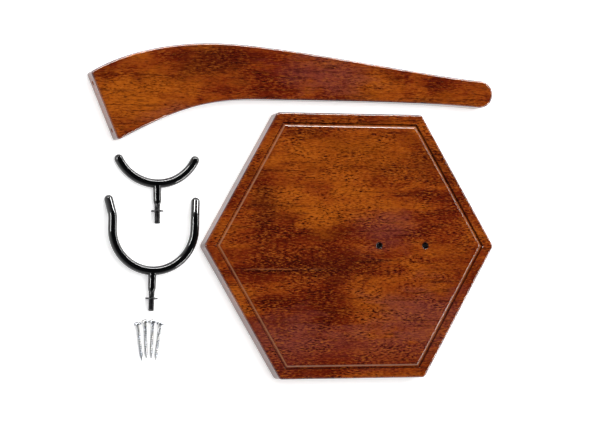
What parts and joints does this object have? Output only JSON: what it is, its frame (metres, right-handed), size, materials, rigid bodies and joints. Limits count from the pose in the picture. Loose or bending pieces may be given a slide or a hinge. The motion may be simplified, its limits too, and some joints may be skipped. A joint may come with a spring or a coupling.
{
  "type": "wall guitar hanger",
  "caption": "Wall guitar hanger laid out as a kit: hexagonal wooden back board, curved wooden arm, coated deep and shallow yokes with threaded stems, loose screws.",
  "frame": {"origin": "centre of the back board's back face", "axes": "+Z out of the board's front face, +X along the kit's long side towards the arm's nose, +Y across it towards the arm"},
  "size_m": [0.3574, 0.2823, 0.0195],
  "materials": {
    "wood": "gloss lacquer over red-brown figured wood",
    "coat": "glossy black soft vinyl",
    "black_steel": "black oxide, slightly glossy",
    "zinc_steel": "bright zinc plate",
    "brass": "turned brass",
    "felt": "pressed felt"
  },
  "bodies": {
    "board": {"back_board": "wood", "keyhole_plate_left": "zinc_steel", "keyhole_plate_right": "zinc_steel", "keyhole_screw_left_low": "zinc_steel", "keyhole_screw_left_high": "zinc_steel", "keyhole_screw_right_low": "zinc_steel", "keyhole_screw_right_high": "zinc_steel", "wall_pad_1": "felt", "wall_pad_2": "felt", "wall_pad_3": "felt"},
    "arm": {"arm": "wood", "shallow_yoke_socket": "brass", "deep_yoke_socket": "brass"},
    "shallow_yoke": {"shallow_yoke_rod": "black_steel", "shallow_yoke_coat": "coat", "shallow_yoke_stem_coat": "coat"},
    "shallow_washer": {"shallow_yoke_washer": "black_steel"},
    "deep_yoke": {"deep_yoke_rod": "black_steel", "deep_yoke_coat": "coat", "deep_yoke_stem_coat": "coat"},
    "deep_washer": {"deep_yoke_washer": "black_steel"},
    "wall_screw_1": {"wall_screw_1": "zinc_steel"},
    "arm_screw_1": {"arm_screw_1": "zinc_steel"},
    "arm_screw_2": {"arm_screw_2": "zinc_steel"},
    "wall_screw_2": {"wall_screw_2": "zinc_steel"}
  },
  "joints": [
    {"name": "arm_lift", "type": "slide", "parent": "board", "child": "arm", "axis": [0, 0, 1], "range_m": [0, 0.12]},
    {"name": "shallow_yoke_lift", "type": "slide", "parent": "board", "child": "shallow_yoke", "axis": [0, 0, 1], "range_m": [0, 0.1]},
    {"name": "shallow_washer_slide", "type": "slide", "parent": "shallow_yoke", "child": "shallow_washer", "axis": [0.0105, 0.9993, -0.0357], "range_m": [-0.009, 0.005]},
    {"name": "deep_yoke_lift", "type": "slide", "parent": "board", "child": "deep_yoke", "axis": [0, 0, 1], "range_m": [0, 0.1]},
    {"name": "deep_washer_slide", "type": "slide", "parent": "deep_yoke", "child": "deep_washer", "axis": [0.0209, 0.9969, 0.0764], "range_m": [-0.009, 0.005]},
    {"name": "wall_screw_1_lift", "type": "slide", "parent": "board", "child": "wall_screw_1", "axis": [0, 0, 1], "range_m": [0, 0.06]},
    {"name": "arm_screw_1_lift", "type": "slide", "parent": "board", "child": "arm_screw_1", "axis": [0, 0, 1], "range_m": [0, 0.06]},
    {"name": "arm_screw_2_lift", "type": "slide", "parent": "board", "child": "arm_screw_2", "axis": [0, 0, 1], "range_m": [0, 0.06]},
    {"name": "wall_screw_2_lift", "type": "slide", "parent": "board", "child": "wall_screw_2", "axis": [0, 0, 1], "range_m": [0, 0.06]}
  ]
}
